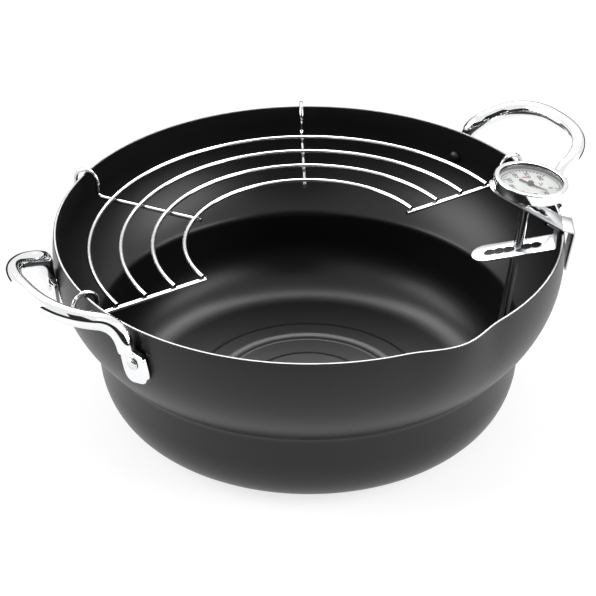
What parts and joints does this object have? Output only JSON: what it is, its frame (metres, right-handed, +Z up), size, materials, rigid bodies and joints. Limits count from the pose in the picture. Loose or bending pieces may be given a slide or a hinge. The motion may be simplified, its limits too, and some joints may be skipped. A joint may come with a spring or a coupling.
{
  "type": "tempura pot",
  "caption": "Round deep-frying pot with a pouring lip, looped rod handles, a half-round hook-on wire drip rack and a clip-on dial thermometer.",
  "frame": {"origin": "on the pot's axis, at the underside of its flat base", "axes": "+Z up, +X through the middle of the right handle, the pouring lip at -Y and the drip rack over the +Y half"},
  "size_m": [0.3306, 0.2658, 0.1319],
  "materials": {
    "coated_steel": "satin black non-stick coating",
    "polished_steel": "mirror polished",
    "rivet_steel": "polished",
    "rack_wire": "bright plated wire",
    "clip_steel": "bright spring steel",
    "case_steel": "polished",
    "dial_white": "matt printed",
    "needle_black": "satin",
    "gasket_rubber": "matt",
    "spring_bronze": "satin",
    "lens_glass": "clear"
  },
  "bodies": {
    "pot": {"pot_body": "coated_steel", "handle_right": "polished_steel", "handle_left": "polished_steel", "rivet_right_front": "rivet_steel", "rivet_right_back": "rivet_steel", "rivet_left_front": "rivet_steel", "rivet_left_back": "rivet_steel"},
    "rack": {"rack_arc_1": "rack_wire", "rack_arc_2": "rack_wire", "rack_arc_3": "rack_wire", "rack_arc_4": "rack_wire", "rack_leg_right": "rack_wire", "rack_leg_back_right": "rack_wire", "rack_leg_back_left": "rack_wire", "rack_leg_left": "rack_wire"},
    "clip": {"clip_upper_strip": "clip_steel", "clip_lower_strip": "clip_steel"},
    "thermometer": {"thermometer_stem": "polished_steel", "thermometer_collar": "polished_steel", "thermometer_case": "case_steel", "thermometer_bezel": "polished_steel", "thermometer_lens": "lens_glass", "thermometer_gasket": "gasket_rubber", "dial_plate": "dial_white", "bimetal_coil": "spring_bronze"},
    "pointer": {"pointer_needle": "needle_black", "pointer_hub": "needle_black", "pointer_shaft": "polished_steel"}
  },
  "joints": [
    {"name": "rack_lift", "type": "slide", "parent": "pot", "child": "rack", "axis": [0, 0, 1], "range_m": [0, 0.12]},
    {"name": "clip_lift", "type": "slide", "parent": "pot", "child": "clip", "axis": [0, 0, 1], "range_m": [0, 0.12]},
    {"name": "thermometer_slide", "type": "slide", "parent": "clip", "child": "thermometer", "axis": [0.1155, -0.0562, 0.9917], "range_m": [0, 0.1]},
    {"name": "pointer_turn", "type": "hinge", "parent": "thermometer", "child": "pointer", "pos_m": [0.09295, -0.06157, 0.12236], "axis": [0.1155, -0.0562, 0.9917], "range_deg": [-270, 30]}
  ]
}
